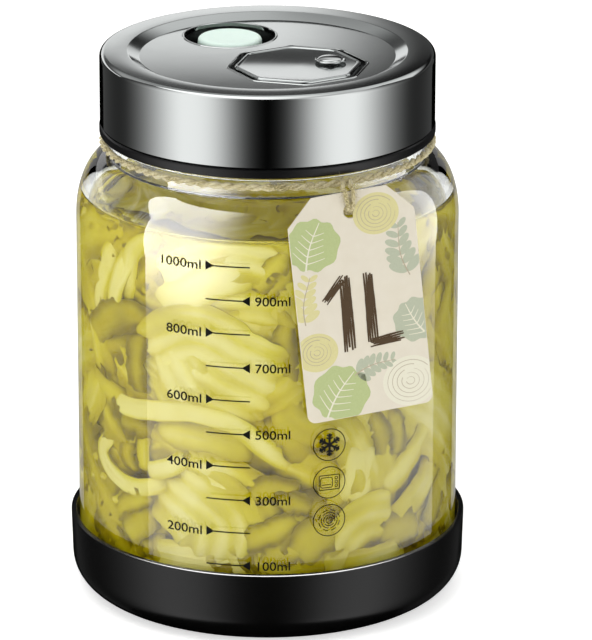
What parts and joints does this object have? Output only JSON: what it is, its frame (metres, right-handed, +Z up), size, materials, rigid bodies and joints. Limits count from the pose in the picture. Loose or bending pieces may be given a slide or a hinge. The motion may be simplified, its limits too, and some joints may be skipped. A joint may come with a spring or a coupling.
{
  "type": "fermentation jar",
  "caption": "Glass jar of pickled cabbage in brine, with a dark steel screw lid with a valve, a black rubber base sleeve and a card tag on neck twine.",
  "frame": {"origin": "centre of the jar's underside, on the surface it stands on", "axes": "+Z up along the jar's axis, -Y out of the front where the printed scale is, +X to the right seen from the front"},
  "size_m": [0.1216, 0.1217, 0.1704],
  "materials": {
    "sleeve_rubber": "moulded black silicone rubber, satin",
    "clear_glass": "clear pressed glass, glossy",
    "cabbage": "wet pickled cabbage leaves and ribs",
    "liner_plastic": "moulded black plastic, satin",
    "lid_steel": "polished stainless steel with a dark gunmetal coat",
    "valve_silicone": "moulded pale green silicone, matte",
    "tag_card": "uncoated printed card, matte",
    "jute_twine": "twisted jute, fuzzy"
  },
  "bodies": {
    "root": {"base_sleeve": "sleeve_rubber", "glass_jar": "clear_glass", "pickled_cabbage": "cabbage", "lid_liner": "liner_plastic", "lid_shell": "lid_steel", "valve_button": "valve_silicone", "cover_plate": "lid_steel", "plate_stud": "lid_steel", "card_tag": "tag_card", "neck_twine": "jute_twine"}
  },
  "joints": []
}
